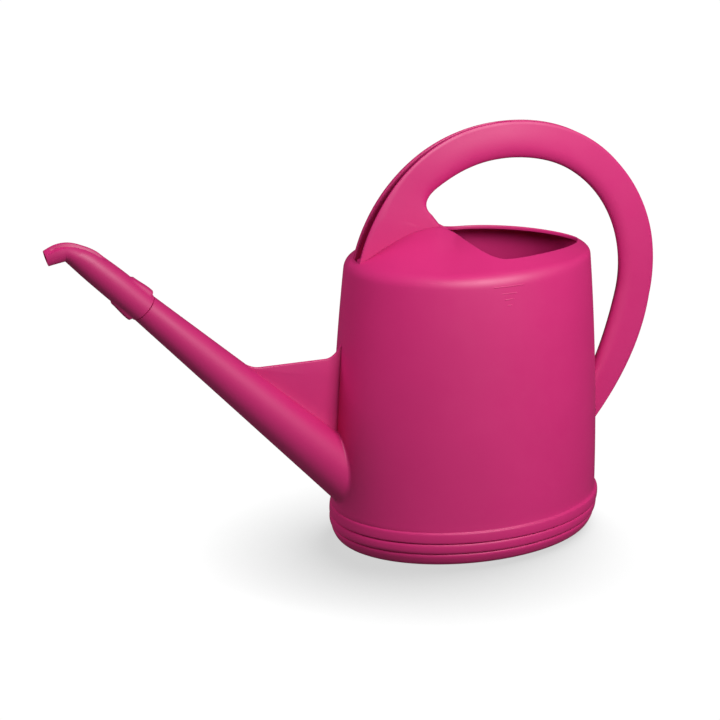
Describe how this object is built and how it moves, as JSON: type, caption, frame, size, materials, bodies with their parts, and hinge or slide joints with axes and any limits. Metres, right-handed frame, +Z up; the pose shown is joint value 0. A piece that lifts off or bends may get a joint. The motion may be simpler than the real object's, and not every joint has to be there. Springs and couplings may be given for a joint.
{
  "type": "watering can",
  "caption": "Oval plastic watering can with a welded base, long conical spout with a turning bent tip, and a round U-section handle over a wide filler mouth.",
  "frame": {"origin": "on the floor at the centre of the oval base", "axes": "+Z up; the spout points towards -X and the handle's back towards +X; Y = 0 is the plane of symmetry"},
  "size_m": [0.4525, 0.1508, 0.3066],
  "materials": {
    "can_plastic": "satin moulded polypropylene, magenta pink",
    "nozzle_plastic": "satin moulded polypropylene, magenta pink"
  },
  "bodies": {
    "can": {"tank": "can_plastic", "base_pan": "can_plastic", "spout": "can_plastic", "spout_web": "can_plastic", "handle": "can_plastic"},
    "tip": {"nozzle": "nozzle_plastic"}
  },
  "joints": [
    {"name": "nozzle_turn", "type": "hinge", "parent": "can", "child": "tip", "pos_m": [-0.25059, 0, 0.20969], "axis": [-0.7141, 0, 0.7], "continuous": true}
  ]
}
